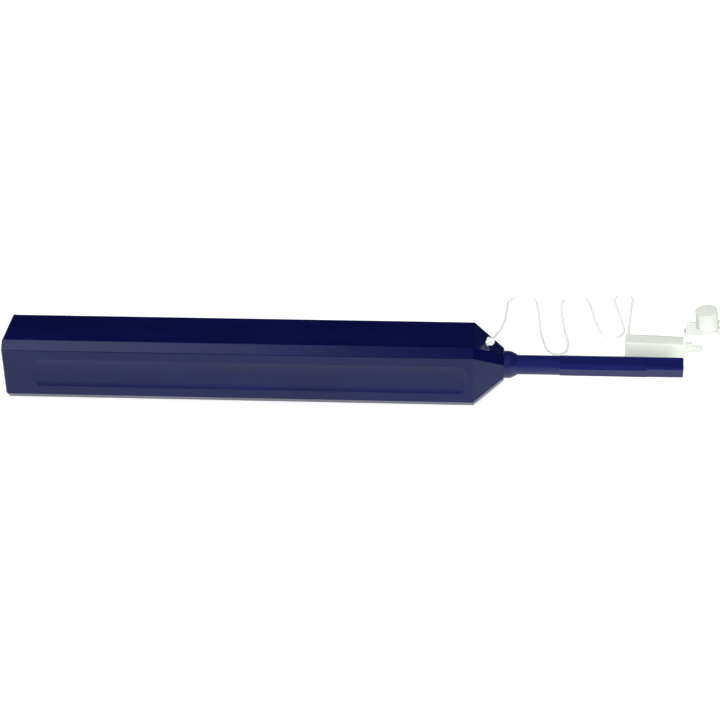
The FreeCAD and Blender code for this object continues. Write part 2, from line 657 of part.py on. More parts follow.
def make_drive_pinion():
    """Involute pinion on the take-up axle, with a tooth space facing the rack."""
    module = mm("Sizes.gear_module")
    count = int(mm("Sizes.pinion_teeth"))
    pressure = math.radians(mm("Sizes.pressure_angle"))
    pitch_r, near = mm(pitch_radius), mm(gear_near)
    base_r = pitch_r * math.cos(pressure)
    tip_r, root_r = pitch_r + module, pitch_r - DEDENDUM * module
    half_pitch_angle = (math.pi * module / 2 - mm("Sizes.backlash")) / (2 * pitch_r)
    flank = []
    for step in range(FLANK_STEPS + 1):
        radius = base_r + (tip_r - base_r) * step / FLANK_STEPS
        opening = involute(pressure) - involute(math.acos(base_r / radius))
        flank.append((radius, half_pitch_angle + opening))
    flank.insert(0, (root_r, flank[0][1]))
    points = []
    for tooth in range(count):
        middle = 2 * math.pi * (tooth + 0.5) / count - math.pi / 2
        sides = [(r, middle - a) for r, a in flank] + [(r, middle + a) for r, a in flank[::-1]]
        points += [Vector(r * math.cos(a), near, r * math.sin(a)) for r, a in sides]
    outline_face = Part.Face(Part.makePolygon(points + points[:1]))
    bore = mm("Sizes.axle_diameter / 2 + Sizes.running_gap")
    hole = Part.Face(Part.Wire(Part.makeCircle(bore, Vector(0, near, 0), Vector(0, 1, 0))))
    pinion = outline_face.cut(hole).extrude(Vector(0, mm("Sizes.gear_width"), 0))
    return finished("drive_pinion", pinion, takeup_axis)


# ---------------------------------------------------------------- cam and nozzle


def make_cam_barrel():
    """Barrel with a half-turn helical groove, carried on two hollow journals."""
    journal = "Sizes.journal_diameter / 2"
    collar = "Sizes.thrust_collar / 2"
    bore = f"({shaft_diameter} / 2 + Sizes.seat_gap)"
    body = turned("cam_barrel", [
        (f"{bay_wall_rear} + Sizes.end_gap", bore),
        (f"{block_rear} + Sizes.carriage_wall - Sizes.end_gap", bore),
        (f"{block_rear} + Sizes.carriage_wall - Sizes.end_gap", journal),
        (f"{block_rear} - Sizes.end_gap", journal), (f"{block_rear} - Sizes.end_gap", collar),
        (f"{block_rear} - Sizes.end_gap - Sizes.carriage_wall", collar),
        (f"{block_rear} - Sizes.end_gap - Sizes.carriage_wall", journal),
        (barrel_front, journal), (barrel_front, "Sizes.barrel_diameter / 2"),
        (barrel_rear, "Sizes.barrel_diameter / 2"), (barrel_rear, journal),
        (f"{bay_wall_front} + Sizes.end_gap + Sizes.carriage_wall", journal),
        (f"{bay_wall_front} + Sizes.end_gap + Sizes.carriage_wall", collar),
        (f"{bay_wall_front} + Sizes.end_gap", collar), (f"{bay_wall_front} + Sizes.end_gap", journal),
        (f"{bay_wall_rear} + Sizes.end_gap", journal),
    ], turn=-mm("Sizes.cam_lead_in"))
    steep = f"atan(Sizes.cam_lead / (2 * pi * {cam_floor}))"
    slot = f"((Sizes.pin_diameter + 4 * Sizes.running_gap) / cos({steep}) / 2)"
    start = f"({pin_axis} - Sizes.cam_lead * Sizes.cam_lead_in / 360)"
    groove = outline(body, "cam_slot", "XZ_Plane", rectangle(
        f"{start} - {slot}", f"{start} + {slot}", cam_floor,
        "Sizes.barrel_diameter / 2 + Sizes.end_gap"))
    helix = body.newObject("PartDesign::SubtractiveHelix", "cam_groove")
    helix.Profile = groove
    helix.ReferenceAxis = (groove, ["H_Axis"])
    helix.Mode = 0
    helix.setExpression("Pitch", "Sizes.cam_lead")
    helix.setExpression("Height", "Sizes.stroke + 2 * Sizes.cam_lead * Sizes.cam_lead_in / 360")
    helix.LeftHanded = False
    helix.Reversed = False
    return body


def make_drive_shaft():
    """Shaft from the barrel to the nozzle, with a channel for the thread on either side."""
    body = turned("drive_shaft", [
        (shaft_rear, "0"), (f"{nozzle_rear} + Sizes.spigot_reach", "0"),
        (f"{nozzle_rear} + Sizes.spigot_reach", "Sizes.shaft_spigot / 2"),
        (spring_shoulder, "Sizes.shaft_spigot / 2"), (spring_shoulder, f"{shaft_diameter} / 2"),
        (shaft_rear, f"{shaft_diameter} / 2"),
    ])
    channels = new_sketch(body, "shaft_channels", "YZ_Plane",
                          f"{spring_shoulder} + Sizes.channel_overcut")
    for side in ("", "-"):
        add_circle(channels, "0", f"{side}Sizes.channel_height", "Sizes.channel_width")
    cut(body, channels, f"{spring_shoulder} - {shaft_rear} + 2 * Sizes.channel_overcut")
    return body


def make_cleaning_nozzle():
    """Sprung nozzle that carries the thread over its rounded end."""
    base = f"{shaft_diameter} / 2"
    slender = "Sizes.nozzle_diameter / 2"
    body = turned("cleaning_nozzle", [
        (nozzle_rear, "Sizes.shaft_spigot / 2 + Sizes.running_gap"),
        (nozzle_seat, "Sizes.shaft_spigot / 2 + Sizes.running_gap"), (nozzle_seat, "0"),
        (nozzle_end, "0"), (nozzle_end, slender), (nozzle_step, slender), (nozzle_step, base),
        (nozzle_rear, base),
    ])
    channels = new_sketch(body, "nozzle_channels", "YZ_Plane",
                          f"{nozzle_step} + Sizes.channel_overcut")
    for side in ("", "-"):
        add_circle(channels, "0", f"{side}Sizes.channel_height", "Sizes.channel_width")
    cut(body, channels, f"{nozzle_step} - {nozzle_rear} + 2 * Sizes.channel_overcut")
    front = mm(nozzle_end)
    round_edges(body, body.Tip, lambda edge: edge.BoundBox.XMin > front - SAME,
                "Sizes.nozzle_diameter / 2 - Sizes.end_gap")
    return body


def tangent_route(points, widest=None):
    """Straight runs joined by tangent arcs, each as large as its two runs allow."""
    edges, radii = [], []
    start = points[0]
    for index in range(1, len(points) - 1):
        before, corner, after = points[index - 1:index + 2]
        incoming, outgoing = (corner - before), (after - corner)
        shorter = min(incoming.Length, outgoing.Length)
        incoming.normalize()
        outgoing.normalize()
        half_turn = incoming.getAngle(outgoing) / 2
        radius = ARC_SHARE * shorter / math.tan(half_turn)
        radius = radius if widest is None else min(radius, widest)
        radii.append(radius)
        set_back = radius * math.tan(half_turn)
        arc_start, arc_end = corner - incoming * set_back, corner + outgoing * set_back
        inward = (outgoing - incoming).normalize()
        centre = corner + inward * (radius / math.cos(half_turn))
        middle = centre - inward * radius
        edges.append(Part.LineSegment(start, arc_start).toShape())
        edges.append(Part.Arc(arc_start, middle, arc_end).toShape())
        start = arc_end
    edges.append(Part.LineSegment(start, points[-1]).toShape())
    return Part.Wire(edges), radii


def round_tube(points, diameter, widest=None):
    """A round solid along a route of points, with the route's length and radii."""
    path, radii = tangent_route(points, widest)
    direction = points[1] - points[0]
    section = Part.Wire(Part.makeCircle(diameter / 2, points[0], direction))
    return path.makePipe(Part.Face(section)), path.Length, radii


def make_cleaning_thread():
    """Thread that runs up one side of the shaft, over the nozzle and back."""
    high, low = mm("Sizes.channel_height"), mm("Sizes.tip_thread_height")
    rear = mm(shaft_rear) + mm("Sizes.recoil") + mm("Sizes.end_gap")
    bend_start = mm(f"{nozzle_step} - Sizes.tip_thread_start")
    bend_end = mm(f"{nozzle_step} + Sizes.tip_thread_end")
    tip = mm(f"{nozzle_end} + Sizes.thread_diameter / 2 + Sizes.tip_thread_gap")
    upper = [Vector(rear, 0, high), Vector(bend_start, 0, high), Vector(bend_end, 0, low),
             Vector(tip, 0, low)]
    lower = [Vector(point.x, 0, -point.z) for point in reversed(upper)]
    thread = round_tube(upper + lower, mm("Sizes.thread_diameter"), mm("Sizes.tip_thread_bend"))[0]
    return finished("cleaning_thread", thread)


def make_thread_runs():
    """Clean thread going to the hollow barrel and used thread coming back from it."""
    middle = mm(f"({reel_near} + {reel_far}) / 2")
    inside, thick = mm("Sizes.thread_aside"), mm("Sizes.thread_diameter")
    far, mouth = mm(shaft_rear) - 2 * thick, mm(bay_wall_rear) + mm("Sizes.carriage_wall") / 4
    supply, takeup = mm(supply_axis), mm(takeup_axis)
    under = -mm("Sizes.reel_diameter") / 2 - thick
    clear = thick / 2 + mm("Sizes.seat_gap")
    clean = [Vector(supply, middle, -mm("Sizes.supply_winding") / 2 - clear),
             Vector(supply + mm("Sizes.thread_dip"), middle, under),
             Vector(takeup + mm("Sizes.thread_rise"), middle, under),
             Vector(mouth, 0, -inside), Vector(far, 0, -inside)]
    used = [Vector(far, 0, inside), Vector(mouth, 0, inside),
            Vector(takeup, middle, mm("Sizes.used_winding") / 2 + clear)]
    bend = mm("Sizes.thread_bend")
    solids = [round_tube(points, thick, bend)[0] for points in (clean, used)]
    return finished("thread_runs", Part.makeCompound(solids))


# ---------------------------------------------------------------- guide cap and tether


def cap_placement(local_x=0.0, local_z=0.0):
    """Where a point of the cap's own frame lies on the pen's resting frame."""
    turn = Rotation(Vector(0, 0, 1), -mm("Sizes.cap_yaw"))
    base = Vector(mm("Sizes.cap_from_rear") - mm(pen_end) / 2, mm("Sizes.cap_aside"), 0)
    return FreeCAD.Placement(base + turn.multVec(Vector(local_x, 0, local_z)), turn)


def make_guide_cap():
    """Square cap with a socket for the tip, a bored nozzle and the strap of its lid."""
    body = new_body("guide_cap", placed=False)
    square = chamfered_square("Sizes.cap_width", "Sizes.cap_edge")
    lifted = [(x, f"{y} + {cap_axis}") for x, y in square]
    extrude(body, outline(body, "cap_block", "YZ_Plane", lifted), "Sizes.cap_length")
    nose = circle(body, "cap_nose", "YZ_Plane", "0", cap_axis, "Sizes.cap_nose_diameter",
                  "Sizes.cap_length")
    extrude(body, nose, "Sizes.cap_nose_length")
    nozzle_start = "(Sizes.cap_length + Sizes.cap_nose_length)"
    nozzle = circle(body, "cap_nozzle", "YZ_Plane", "0", cap_axis, "Sizes.cap_nozzle_diameter",
                    nozzle_start)
    extrude(body, nozzle, "Sizes.cap_nozzle_length")
    strap = outline(body, "cap_strap", "XY_Plane", rectangle(
        "Sizes.cap_length - Sizes.strap_thickness", "Sizes.cap_length",
        "-Sizes.strap_width / 2", "Sizes.strap_width / 2"), "Sizes.cap_width - Sizes.cap_edge")
    extrude(body, strap, "Sizes.strap_height + Sizes.cap_edge - Sizes.hinge_gap")
    socket = outline(body, "cap_socket", "YZ_Plane", [
        (y, f"{z} + {cap_axis}") for y, z in
        chamfered_square("Sizes.socket_width", "Sizes.tip_chamfer")], "Sizes.socket_depth")
    cut(body, socket, "Sizes.socket_depth")
    bore = circle(body, "cap_bore", "YZ_Plane", "0", cap_axis, "Sizes.ferrule_bore",
                  f"{nozzle_start} + Sizes.cap_nozzle_length")
    cut(body, bore, "Sizes.cap_length")
    body.Placement = cap_placement()
    return body


def make_cap_lid():
    """Hinged lid: a plate with a cup that closes over the cap's nozzle."""
    body = new_body("cap_lid", placed=False)
    reach = "Sizes.strap_height + Sizes.cap_width / 2"
    low = "Sizes.hinge_gap"
    plate = outline(body, "lid_plate", "XY_Plane", rectangle(
        low, "Sizes.lid_reach", "-Sizes.lid_width / 2", "Sizes.lid_width / 2"), low)
    extrude(body, plate, "Sizes.lid_plate")
    cup = circle(body, "lid_cup", "XY_Plane", reach, "0", "Sizes.cup_diameter", low)
    extrude(body, cup, "Sizes.cup_depth + Sizes.cup_wall")
    hollow = circle(body, "lid_hollow", "XY_Plane", reach, "0",
                    "Sizes.cup_diameter - 2 * Sizes.cup_wall", f"{low} + Sizes.cup_depth")
    cut(body, hollow, "Sizes.cup_depth + Sizes.hinge_gap")
    hinge = cap_placement(mm("Sizes.cap_length + Sizes.hinge_gap / 2"), mm(hinge_height))
    tilt = FreeCAD.Placement(Vector(), Rotation(Vector(0, 1, 0), -mm("Sizes.lid_angle")))
    body.Placement = hinge.multiply(tilt)
    return body


def make_cord_knot():
    """Knot standing on the taper, with its tail in the anchor hole."""
    radius = mm("Sizes.knot_diameter / 2")
    ball = Part.makeSphere(radius, taper_point(radius))
    deep = mm("Sizes.anchor_depth - Sizes.tail_gap")
    tail = Part.makeCylinder(mm("Sizes.cord_diameter / 2"), radius + deep, taper_point(-deep),
                             taper_normal())
    return finished("cord_knot", ball.fuse(tail))


# Route of the cord on the pen's resting frame, from the knot to the cap.
CORD_ROUTE = [
    (42.6, 11.0, 13.4), (43.5, 23.0, 9.6), (43.6, 34.5, 5.6), (43.7, 43.5, 2.6),
    (43.9, 49.0, 1.2), (45.6, 52.4, 0.5), (48.7, 53.8, 0.42), (51.7, 52.0, 0.42),
    (52.6, 46.2, 0.42), (53.1, 36.0, 0.42), (54.2, 27.0, 0.42), (55.5, 21.8, 0.42),
    (58.1, 19.8, 0.42), (60.8, 21.7, 0.42), (61.2, 26.8, 0.42), (60.1, 34.5, 0.42),
    (59.2, 45.0, 0.42), (59.4, 51.7, 0.42), (62.9, 54.9, 0.42), (66.9, 53.1, 0.42),
    (68.1, 45.6, 0.42), (69.4, 36.0, 0.42), (71.4, 30.6, 0.42), (74.1, 29.6, 0.42),
    (76.7, 31.9, 0.42), (77.0, 36.5, 0.42), (76.1, 42.4, 0.42), (75.1, 48.4, 0.42),
    (74.5, 53.0, 0.42), (76.0, 55.1, 0.42), (78.6, 55.2, 0.42), (80.2, 53.1, 0.42),
    (79.4, 48.2, 0.42), (79.0, 42.2, 0.6), (78.5, 35.8, 1.3), (78.1, 30.2, 2.6),
]


def make_tether_cord():
    """Thin nylon cord in a long loose route over the table behind the pen."""
    row_shift = Vector(-mm(pen_end) / 2, 0, mm(half))
    centre = taper_point(mm("Sizes.knot_diameter / 2")) + row_shift
    first = Vector(*CORD_ROUTE[0])
    outward = (first - centre).normalize()
    start = centre + outward * (mm("Sizes.knot_diameter / 2") + mm("Sizes.seat_gap"))
    side = mm("Sizes.cap_width / 2 + Sizes.end_gap")
    end = cap_placement().multVec(Vector(mm("Sizes.cord_inset"), side, mm("Sizes.cord_height")))
    points = [start] + [Vector(*point) for point in CORD_ROUTE] + [end]
    tube, length, radii = round_tube(points, mm("Sizes.cord_diameter"))
    print("cord radii", [round(radius, 1) for radius in radii])
    print("cord length", round(length, 1), "volume over section times length",
          round(tube.Volume / (math.pi * mm("Sizes.cord_diameter / 2") ** 2 * length), 4))
    cord = doc.addObject("Part::Feature", "tether_cord")
    cord.Label = "tether_cord"
    cord.Shape = tube
    return cord


# ---------------------------------------------------------------- build

sub_parts = [
    make_shell_with_cuts(), make_top_cover(), make_rear_cap(), make_nose_bush(), make_cam_pin(),
    make_drive_rack(),
    coil_spring("return_spring", "Sizes.return_wire", "Sizes.return_coil", "Sizes.return_turns",
                spring_seat, f"({carriage_rear} - {spring_seat})"),
    make_carriage_frame(), make_guide_tube(), make_tip_guide(),
    make_axle("supply_axle", supply_axis), make_axle("take_up_axle", takeup_axis),
    make_leaf("ratchet_pawl", bay_wall_rear, "-", takeup_axis,
              "(Sizes.ratchet_diameter / 2 + 2 * Sizes.leaf_thickness)",
              "(2 * Sizes.leaf_thickness - Sizes.end_gap)",
              f"({reel_far} + Sizes.end_gap / 2)", "(Sizes.ratchet_width - Sizes.end_gap)"),
    make_leaf("reel_brake", reel_bay_rear, "+", supply_axis,
              "(Sizes.reel_diameter / 2 + Sizes.running_gap)", "Sizes.running_gap / 2",
              f"({reel_near} + Sizes.reel_width / 2)", "Sizes.brake_width"),
    make_thread_runs(), make_cam_barrel(), make_drive_shaft(), make_cleaning_nozzle(),
    make_cleaning_thread(), make_drive_pinion(),
    coil_spring("nozzle_spring", "Sizes.nozzle_wire", "Sizes.nozzle_coil", "Sizes.nozzle_turns",
                spring_shoulder, "Sizes.nozzle_spring_room"),
    make_take_up_reel(), make_reel("supply_reel", supply_axis, f"({bay_half} - Sizes.end_gap)"),
    make_winding("supply_thread", supply_axis, "Sizes.supply_winding"),
    make_winding("used_thread", takeup_axis, "Sizes.used_winding"),
    make_guide_cap(), make_cap_lid(), make_cord_knot(), make_tether_cord(),
]
doc.recompute()

for item in doc.Objects:
    if "Invalid" in item.State or "Error" in item.State:
        raise RuntimeError(f"{item.Label} did not compute: {item.State}")
for piece in sub_parts:
    if piece.Shape.isNull() or not piece.Shape.isValid():
        raise RuntimeError(f"{piece.Label} has no valid shape")
for piece in sub_parts:
    piece.Shape.exportStep(f"parts/{piece.Label}.step")
    box = piece.Shape.BoundBox
    print(f"{piece.Label}: {len(piece.Shape.Solids)} solid, {piece.Shape.Volume:.2f} mm3, "
          f"x {box.XMin:.2f} {box.XMax:.2f}, y {box.YMin:.2f} {box.YMax:.2f}, "
          f"z {box.ZMin:.2f} {box.ZMax:.2f}")
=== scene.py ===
"""A push-type cleaning pen for fibre connectors, lying on a white table beside its guide cap.

Lengths are in metres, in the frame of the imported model: the pen lies along x, tip to the right.
"""
import bmesh
import bpy
import json
import math
import numpy as np
from mathutils import Euler, Matrix, Vector


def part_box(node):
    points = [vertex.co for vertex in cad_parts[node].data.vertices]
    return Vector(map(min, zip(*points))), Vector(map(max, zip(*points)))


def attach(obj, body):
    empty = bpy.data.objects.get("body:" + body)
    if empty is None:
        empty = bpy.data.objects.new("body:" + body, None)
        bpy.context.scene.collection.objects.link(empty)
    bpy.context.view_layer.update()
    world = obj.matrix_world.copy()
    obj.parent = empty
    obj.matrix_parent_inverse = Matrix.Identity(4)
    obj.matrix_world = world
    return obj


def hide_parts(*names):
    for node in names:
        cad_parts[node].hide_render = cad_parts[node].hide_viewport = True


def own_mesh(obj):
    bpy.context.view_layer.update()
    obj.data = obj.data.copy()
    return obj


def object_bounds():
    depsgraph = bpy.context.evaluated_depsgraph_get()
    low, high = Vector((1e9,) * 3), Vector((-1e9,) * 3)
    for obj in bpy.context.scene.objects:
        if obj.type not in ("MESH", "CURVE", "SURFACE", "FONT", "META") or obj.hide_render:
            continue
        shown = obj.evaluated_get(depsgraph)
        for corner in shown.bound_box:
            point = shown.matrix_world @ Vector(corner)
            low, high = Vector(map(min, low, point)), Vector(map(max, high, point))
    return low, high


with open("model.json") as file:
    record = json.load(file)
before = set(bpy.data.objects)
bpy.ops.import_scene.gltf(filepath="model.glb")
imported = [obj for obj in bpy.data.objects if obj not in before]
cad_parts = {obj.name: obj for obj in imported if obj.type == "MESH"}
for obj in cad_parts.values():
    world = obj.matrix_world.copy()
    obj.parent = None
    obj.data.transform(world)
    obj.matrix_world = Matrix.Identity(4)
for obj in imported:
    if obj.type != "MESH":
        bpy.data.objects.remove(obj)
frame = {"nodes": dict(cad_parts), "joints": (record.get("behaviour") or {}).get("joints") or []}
nodes = frame["nodes"]
model_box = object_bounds()
MM = 0.001


# ---- Table and studio light -------------------------------------------------------------
# A sheet of matt white laminate carries the pen.  Soft boxes above, in front and behind light
# it, a faint one on the left gives the glint on its upper edges, and the room round it is dim.

class Amount:
    """A number that varies over a surface.  Arithmetic on it adds Math nodes to its finish."""

    def __init__(self, finish, socket):
        self.finish = finish
        self.socket = socket

    def maths(self, operation, *values):
        sockets = dict(enumerate(values))
        return self.finish.add("ShaderNodeMath", {"operation": operation}, sockets)

    def __add__(self, other):
        return self.maths("ADD", self, other)

    __radd__ = __add__

    def __mul__(self, other):
        return self.maths("MULTIPLY", self, other)

    __rmul__ = __mul__

    def between(self, low, high):
        """0 where this is low, 1 where it is high, eased in between."""
        settings = {"interpolation_type": "SMOOTHSTEP"}
        sockets = {"Value": self, "From Min": low, "From Max": high}
        return self.finish.add("ShaderNodeMapRange", settings, sockets)


class Finish:
    """A surface finish built on the standard shader, with constants set on its own sockets.
    The room's light is made the same way, on a world's background shader."""

    def __init__(self, name, constants, store=bpy.data.materials, shader="Principled BSDF"):
        self.block = store.new(name)
        self.block.use_nodes = True
        self.tree = self.block.node_tree
        self.shader = self.tree.nodes[shader]
        self.feed(self.shader, constants)

    def feed(self, node, sockets):
        """Sets or links each named or numbered socket of a node."""
        for key, value in sockets.items():
            socket = node.inputs[key]
            if isinstance(value, Amount):
                self.tree.links.new(value.socket, socket)
            else:
                socket.default_value = value

    def add(self, kind, settings, sockets, output=0):
        """Adds a node of a kind: its settings come first, then its sockets."""
        node = self.tree.nodes.new(kind)
        for name, value in settings.items():
            setattr(node, name, value)
        self.feed(node, sockets)
        return Amount(self, node.outputs[output])

    def cloud(self, size, detail=2.0, stretch=(1.0, 1.0, 1.0)):
        """Soft noise from 0 to 1 whose lumps are about size metres across."""
        scale = tuple(1.0 / (size * factor) for factor in stretch)
        place = self.add("ShaderNodeTexCoord", {}, {}, "Object")
        spot = self.add("ShaderNodeMapping", {}, {"Vector": place, "Scale": scale})
        return self.add("ShaderNodeTexNoise", {}, {"Vector": spot, "Scale": 1.0, "Detail": detail})

    def blend(self, factor, first, second):
        """The first colour where the factor is 0, the second where it is 1."""
        return self.add("ShaderNodeMix", {"data_type": "RGBA"}, {0: factor, 6: first, 7: second}, 2)

    def seen(self):
        """1 for what the camera sees straight on or through clear plastic, otherwise 0."""
        return self.add("ShaderNodeMath", {"operation": "MAXIMUM"}, {
            0: self.add("ShaderNodeLightPath", {}, {}, "Is Camera Ray"),
            1: self.add("ShaderNodeLightPath", {}, {}, "Is Transmission Ray")})

    def relief(self, height, depth):
        """Raises the surface by height times depth metres."""
        self.feed(self.shader, {"Normal": self.add(
            "ShaderNodeBump", {}, {"Height": height, "Distance": depth, "Strength": 1.0})})

    def dress(self, *pieces):
        """Puts the finish on each piece, in its material slots."""
        for piece in pieces:
            piece.data.materials.clear()
            piece.data.materials.append(self.block)


def grey(strength):
    """A colourless light or tint of that strength, from 0 for black to 1 for white."""
    return (strength, strength, strength, 1.0)


def tint(red, green, blue):
    """A colour given in display steps of 0 to 255, as a linear shader colour.  The standard
    display curve is straight near black and a power of 2.4 above."""
    shares = np.array([red, green, blue]) / 255.0
    linear = np.where(shares <= 0.04045, shares / 12.92, ((shares + 0.055) / 1.055) ** 2.4)
    return (*linear.tolist(), 1.0)


def grid_piece(name, points, columns_closed=False, rows_closed=False):
    """A smooth mesh through a grid of points, rows by columns, each way joined up when closed."""
    rows, columns = points.shape[:2]
    index = np.arange(rows * columns).reshape(rows, columns)
    if columns_closed:
        index = np.hstack([index, index[:, :1]])
    if rows_closed:
        index = np.vstack([index, index[:1]])
    quads = np.stack([index[:-1, :-1], index[:-1, 1:], index[1:, 1:], index[1:, :-1]], axis=-1)
    mesh = bpy.data.meshes.new(name)
    mesh.from_pydata(points.reshape(-1, 3).tolist(), [], quads.reshape(-1, 4).tolist())
    tidy = bmesh.new()
    tidy.from_mesh(mesh)
    bmesh.ops.remove_doubles(tidy, verts=tidy.verts, dist=1e-7)
    bmesh.ops.recalc_face_normals(tidy, faces=tidy.faces)
    tidy.to_mesh(mesh)
    tidy.free()
    mesh.shade_smooth()
    piece = bpy.data.objects.new(name, mesh)
    bpy.context.scene.collection.objects.link(piece)
    return piece


# The table top is one flat sheet: x and y run over it and z is its height.  It glows a little
# where it is seen or mirrored, so that it looks white without more light on the pen.
table_reach = 0.45
table_height = model_box[0][2] - 0.02 * MM
steps = np.linspace(-table_reach, table_reach, 3)
across, away = np.meshgrid(steps, steps, indexing="ij")
table = grid_piece("table_top", np.stack([across, away, np.full_like(across, table_height)], -1))
laminate = Finish("white_laminate", {
    "Base Color": tint(243, 243, 243), "Roughness": 0.9, "Specular IOR Level": 0.1,
    "Emission Strength": 1.0})
mirrored_glow = laminate.blend(
    laminate.add("ShaderNodeLightPath", {}, {}, "Is Glossy Ray"), grey(0.0), grey(0.3))
laminate.feed(laminate.shader, {
    "Emission Color": laminate.blend(laminate.seen(), mirrored_glow, grey(0.45))})
laminate.block.cycles.emission_sampling = "NONE"
laminate.dress(table)

# The room is dim, so that the gloss stays dark, but white where it is seen past the table.
room = Finish("dim_room", {"Strength": 1.0}, bpy.data.worlds, "Background")
room.feed(room.shader, {
    "Color": room.blend(room.seen(), (0.022, 0.024, 0.025, 1.0), grey(1.0))})
bpy.context.scene.world = room.block


pen_middle = Vector((0.0, 0.0, 9.0)) * MM


def soft_box(name, place, width, height, power, mirrored):
    """A rectangular lamp turned towards the pen's middle.  Gloss shows it only when mirrored."""
    lamp = bpy.data.lights.new(name, "AREA")
    lamp.shape = "RECTANGLE"
    lamp.size, lamp.size_y = width, height
    lamp.energy = power
    stand = bpy.data.objects.new(name, lamp)
    stand.location = place
    stand.rotation_euler = (pen_middle - Vector(place)).to_track_quat("-Z", "Y").to_euler()
    stand.visible_glossy = mirrored
    bpy.context.scene.collection.objects.link(stand)


soft_box("high_box", (-0.1, -0.1, 0.9), width=0.9, height=0.6, power=2.6, mirrored=False)
soft_box("front_box", (0.1, -0.8, 0.45), width=0.8, height=0.4, power=10.6, mirrored=False)
soft_box("back_box", (0.1, 0.95, 0.3), width=0.9, height=0.4, power=6.0, mirrored=False)
soft_box("left_box", (-0.37, -0.42, 0.68), width=0.5, height=0.4, power=1.4, mirrored=True)

# The camera looks down on the pen from the front, a little from the right.
view_distance = 0.582
view_side, view_rise, view_roll = 5.78, 30.67, -1.89
view_target = Vector((4.8, 0.0, 9.5)) * MM
turned = (Euler((math.radians(90 - view_rise), 0, math.radians(view_side))).to_matrix()
          @ Matrix.Rotation(math.radians(view_roll), 3, "Z"))
lens = bpy.data.cameras.new("studio_camera")
lens.lens, lens.sensor_width = 107.3, 36.0
camera = bpy.data.objects.new("studio_camera", lens)
camera.matrix_world = turned.to_4x4()
camera.location = view_target + turned @ Vector((0, 0, view_distance))
bpy.context.scene.collection.objects.link(camera)
bpy.context.scene.camera = camera
bpy.context.scene.view_settings.view_transform = "Standard"


# ---- Tether cord ------------------------------------------------------------------------
# Clear nylon monofilament, 0.8 mm thick, tied in the hole of the taper and moulded into the
# side of the guide cap.  It is limp and lies on the table in loose bights.

cord_diameter = 0.8 * MM

# Control points of the cord's line, in millimetres, from the knot to the cap.
cord_route = [
    (40.2, -0.45, 16.6),
    (42.6, 11.0, 13.4), (43.5, 23.0, 9.6), (43.6, 34.5, 5.6), (43.7, 43.5, 2.6),
    (43.9, 49.0, 1.2), (45.6, 52.4, 0.5), (48.7, 53.8, 0.42), (51.7, 52.0, 0.42),
    (52.6, 46.2, 0.42), (53.1, 36.0, 0.42), (54.2, 27.0, 0.42), (55.5, 21.8, 0.42),
    (58.1, 19.8, 0.42), (60.8, 21.7, 0.42), (61.2, 26.8, 0.42), (60.1, 34.5, 0.42),
    (59.2, 45.0, 0.42), (59.4, 51.7, 0.42), (62.9, 54.9, 0.42), (66.9, 53.1, 0.42),
    (68.1, 45.6, 0.42), (69.4, 36.0, 0.42), (71.4, 30.6, 0.42), (74.1, 29.6, 0.42),
    (76.7, 31.9, 0.42), (77.0, 36.5, 0.42), (76.1, 42.4, 0.42), (75.1, 48.4, 0.42),
    (74.5, 53.0, 0.42), (76.0, 55.1, 0.42), (78.6, 55.2, 0.42), (80.2, 53.1, 0.42),
    (79.4, 48.2, 0.42), (79.0, 42.2, 0.6), (78.5, 35.8, 1.3), (78.1, 30.2, 2.6),
    (77.99, 24.69, 4.34),
]
strand = bpy.data.curves.new("tether_strand", "CURVE")
strand.dimensions = "3D"
line = strand.splines.new("NURBS")
line.points.add(len(cord_route) - 1)
for control, (x, y, z) in zip(line.points, cord_route):
    control.co = (x * MM, y * MM, z * MM, 1.0)
line.order_u = 3
line.use_endpoint_u = True
line.resolution_u = 12
strand.bevel_depth = cord_diameter / 2
strand.bevel_resolution = 5
strand.use_fill_caps = True
tether = bpy.data.objects.new("tether_strand", strand)
bpy.context.scene.collection.objects.link(tether)
nylon = Finish("clear_nylon", {
    "Roughness": 0.35, "IOR": 1.15, "Transmission Weight": 0.35, "Specular IOR Level": 0.4})
drawn = nylon.cloud(0.6 * MM, 3.0)
nylon.feed(nylon.shader, {"Base Color": nylon.blend(
    drawn.between(0.35, 0.7), tint(236, 240, 235), tint(247, 249, 246))})
nylon.relief(nylon.cloud(0.5 * MM), 0.003 * MM)


def tube_piece(name, path, radii, outward, looped=False):
    """Rings of 20 points along a path, each square to the line through its neighbours and turned
    so that it starts square to the outward direction there."""
    ahead = np.roll(path, -1, 0) - np.roll(path, 1, 0) if looped else np.gradient(path, axis=0)
    across = np.cross(ahead, outward)
    across /= np.linalg.norm(across, axis=1, keepdims=True)
    upright = np.cross(across, ahead)
    upright /= np.linalg.norm(upright, axis=1, keepdims=True)
    angle = np.linspace(0, 2 * np.pi, 20, endpoint=False)[None, :, None]
    rings = across[:, None] * np.cos(angle) + upright[:, None] * np.sin(angle)
    points = path[:, None] + radii[:, None, None] * rings
    return grid_piece(name, points, columns_closed=True, rows_closed=looped)


